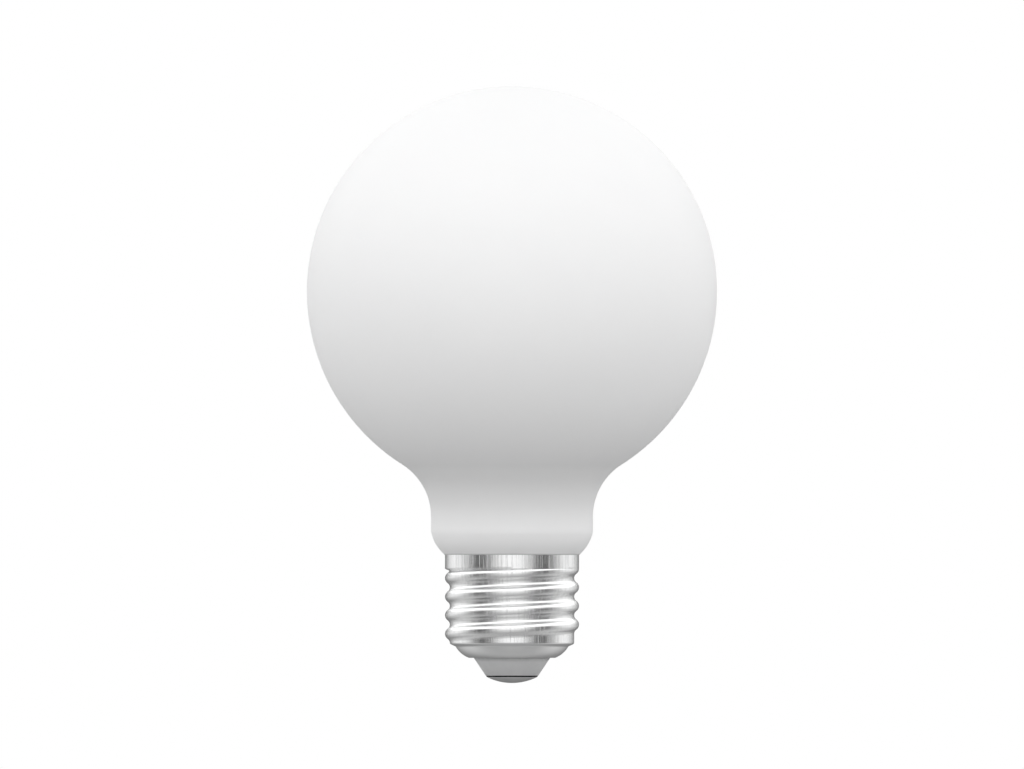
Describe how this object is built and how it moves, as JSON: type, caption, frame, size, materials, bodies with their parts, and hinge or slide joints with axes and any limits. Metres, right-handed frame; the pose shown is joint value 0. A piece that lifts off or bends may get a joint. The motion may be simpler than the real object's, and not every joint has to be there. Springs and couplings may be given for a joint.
{
  "type": "globe light bulb",
  "caption": "Opal glass globe lamp on a short neck, with a rolled screw cap, a cone insulator and a domed centre contact.",
  "frame": {"origin": "tip of the centre contact, on the lamp's axis", "axes": "+Z along the lamp's axis from the contact to the crown of the globe; the thread's crests climb from -X to +X across the front, which faces -Y"},
  "size_m": [0.08, 0.08, 0.1164],
  "materials": {
    "opal_glass": "matt opal, white all through",
    "plated_shell": "nickel plated sheet with fine rolling marks",
    "insulator_grey": "matt moulded grey",
    "contact_metal": "dull plated steel",
    "cement": "rough set cement"
  },
  "bodies": {
    "root": {"opal_globe": "opal_glass", "screw_shell": "plated_shell", "insulator": "insulator_grey", "centre_contact": "contact_metal", "neck_cement": "cement"}
  },
  "joints": []
}
